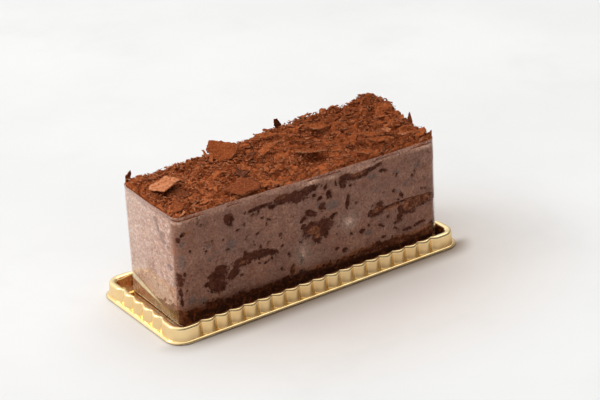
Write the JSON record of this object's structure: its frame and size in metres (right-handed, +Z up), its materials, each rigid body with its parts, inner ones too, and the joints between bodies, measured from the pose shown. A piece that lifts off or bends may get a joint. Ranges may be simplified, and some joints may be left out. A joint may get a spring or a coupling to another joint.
{
  "type": "chocolate cake",
  "caption": "Bar-shaped chocolate layer cake with sponge and cream inside, a heap of chocolate flakes on top, a clear film round its sides and its own scalloped gold tray.",
  "frame": {"origin": "centre of the flat underside of the tray, on the surface the cake stands on", "axes": "+X along the tray's long side, +Y across it towards the back, +Z up"},
  "size_m": [0.12, 0.0512, 0.0483],
  "materials": {
    "gold": "bright gold foil",
    "film": "clear glossy film",
    "sponge": "dark moist crumb",
    "cream": "smooth chocolate cream",
    "flakes": "dry chocolate flakes with cocoa dust"
  },
  "bodies": {
    "root": {"tray": "gold", "film_wrap": "film", "sponge_base": "sponge", "cream_lower": "cream", "sponge_middle": "sponge", "cream_upper": "cream", "flake_topping": "flakes"}
  },
  "joints": []
}
